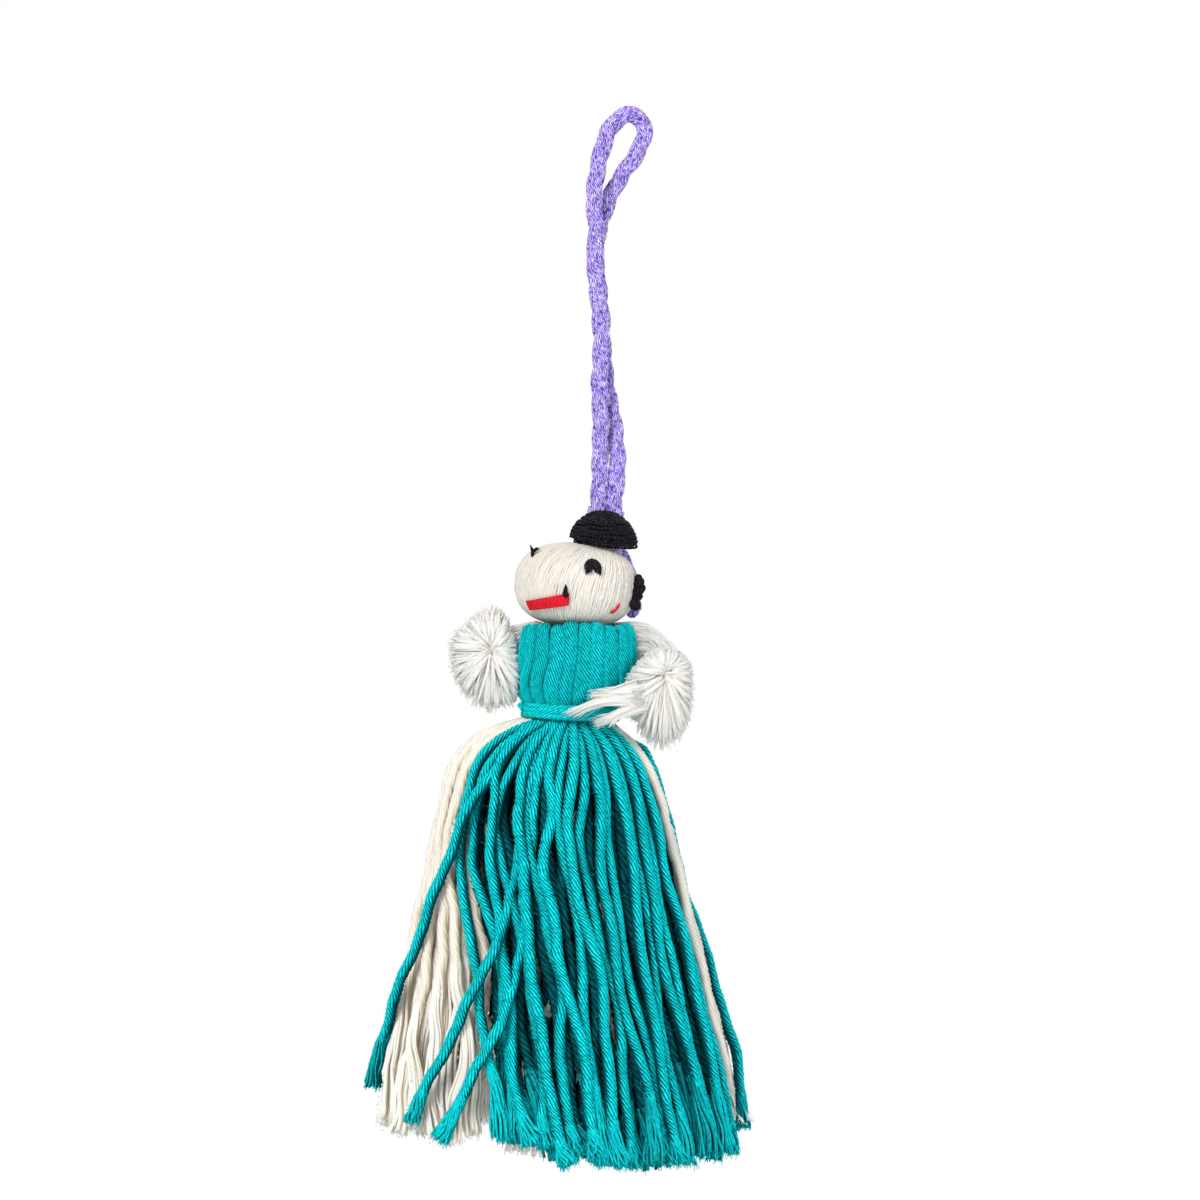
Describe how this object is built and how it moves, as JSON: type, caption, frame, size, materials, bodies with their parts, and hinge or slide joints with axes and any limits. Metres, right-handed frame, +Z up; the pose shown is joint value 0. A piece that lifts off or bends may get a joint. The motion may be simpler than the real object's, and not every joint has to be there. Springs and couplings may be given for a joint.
{
  "type": "hanging yarn doll",
  "caption": "Small doll of tied and wound yarn with a plaited hanging cord, hair bun, stitched face, brushed-out hands and a long yarn skirt.",
  "frame": {"origin": "seat at the inside top of the hanging cord's eye, where a hook or nail carries the doll", "axes": "+Z up the hanging cord, +X to the right of someone who faces the skirt's teal front, +Y away from them"},
  "size_m": [0.0804, 0.0492, 0.2122],
  "materials": {
    "teal_yarn": "matt plied cotton yarn",
    "cream_yarn": "matt plied cotton yarn, brushed out at the cut ends",
    "black_floss": "stranded floss with a slight sheen",
    "red_floss": "satin-stitched floss",
    "plaited_floss": "lavender floss with a silky sheen, in a three-strand plait"
  },
  "bodies": {
    "hanger": {"hanging_cord_eye": "plaited_floss"},
    "cord_legs": {"hanging_cord_left_leg": "plaited_floss", "hanging_cord_right_leg": "plaited_floss"},
    "head": {"cord_tail_left": "plaited_floss", "cord_tail_right": "plaited_floss", "head_yarn": "cream_yarn", "head_core": "cream_yarn", "bun_core": "black_floss", "bun_winding": "black_floss", "eye_left": "black_floss", "eye_right": "black_floss", "nose_stitch": "black_floss", "mouth_stitch": "red_floss", "cheek_stitch": "red_floss", "side_tuft": "black_floss", "side_knot": "black_floss"},
    "neck": {"neck_tie": "cream_yarn"},
    "torso": {"trunk_yarn": "cream_yarn", "bodice_front": "teal_yarn", "bodice_back": "teal_yarn", "arm_hank": "cream_yarn", "waist_tie": "teal_yarn", "waist_knot": "teal_yarn"},
    "left_arm": {"left_arm_yarn": "cream_yarn", "left_wrist_tie": "cream_yarn", "left_hand_tuft": "cream_yarn"},
    "right_arm": {"right_arm_yarn": "cream_yarn", "right_wrist_tie": "cream_yarn", "right_hand_tuft": "cream_yarn"},
    "skirt": {"skirt_front": "teal_yarn", "skirt_back": "teal_yarn", "underskirt_left": "cream_yarn", "underskirt_right": "cream_yarn", "underskirt_core": "cream_yarn", "loose_strand_left": "teal_yarn", "crossing_strand_upper": "teal_yarn", "crossing_strand_lower": "teal_yarn", "right_edge_strand": "teal_yarn"}
  },
  "joints": [
    {"name": "cord_sway", "type": "hinge", "parent": "hanger", "child": "cord_legs", "pos_m": [-0.0046, 0, -0.025], "axis": [0, 1, 0], "range_deg": [-35, 35]},
    {"name": "doll_swing", "type": "hinge", "parent": "cord_legs", "child": "head", "pos_m": [0.00097, 0, -0.0752], "axis": [1, 0, 0], "range_deg": [-45, 45]},
    {"name": "head_nod", "type": "hinge", "parent": "head", "child": "neck", "pos_m": [-0.00337, -0.0035, -0.1033], "axis": [1, 0, 0], "range_deg": [-5, 5]},
    {"name": "head_turn", "type": "hinge", "parent": "neck", "child": "torso", "pos_m": [-0.00337, -0.0035, -0.1033], "axis": [0, 0, 1], "range_deg": [-40, 40]},
    {"name": "left_arm_lift", "type": "hinge", "parent": "torso", "child": "left_arm", "pos_m": [-0.01227, -0.0035, -0.1047], "axis": [0, 1, 0], "range_deg": [0, 20]},
    {"name": "right_arm_lift", "type": "hinge", "parent": "torso", "child": "right_arm", "pos_m": [0.00683, -0.0035, -0.103], "axis": [0, -1, 0], "range_deg": [0, 25]},
    {"name": "skirt_swing", "type": "hinge", "parent": "torso", "child": "skirt", "pos_m": [-0.00337, -0.0035, -0.11792], "axis": [1, 0, 0], "range_deg": [-9, 9]}
  ]
}
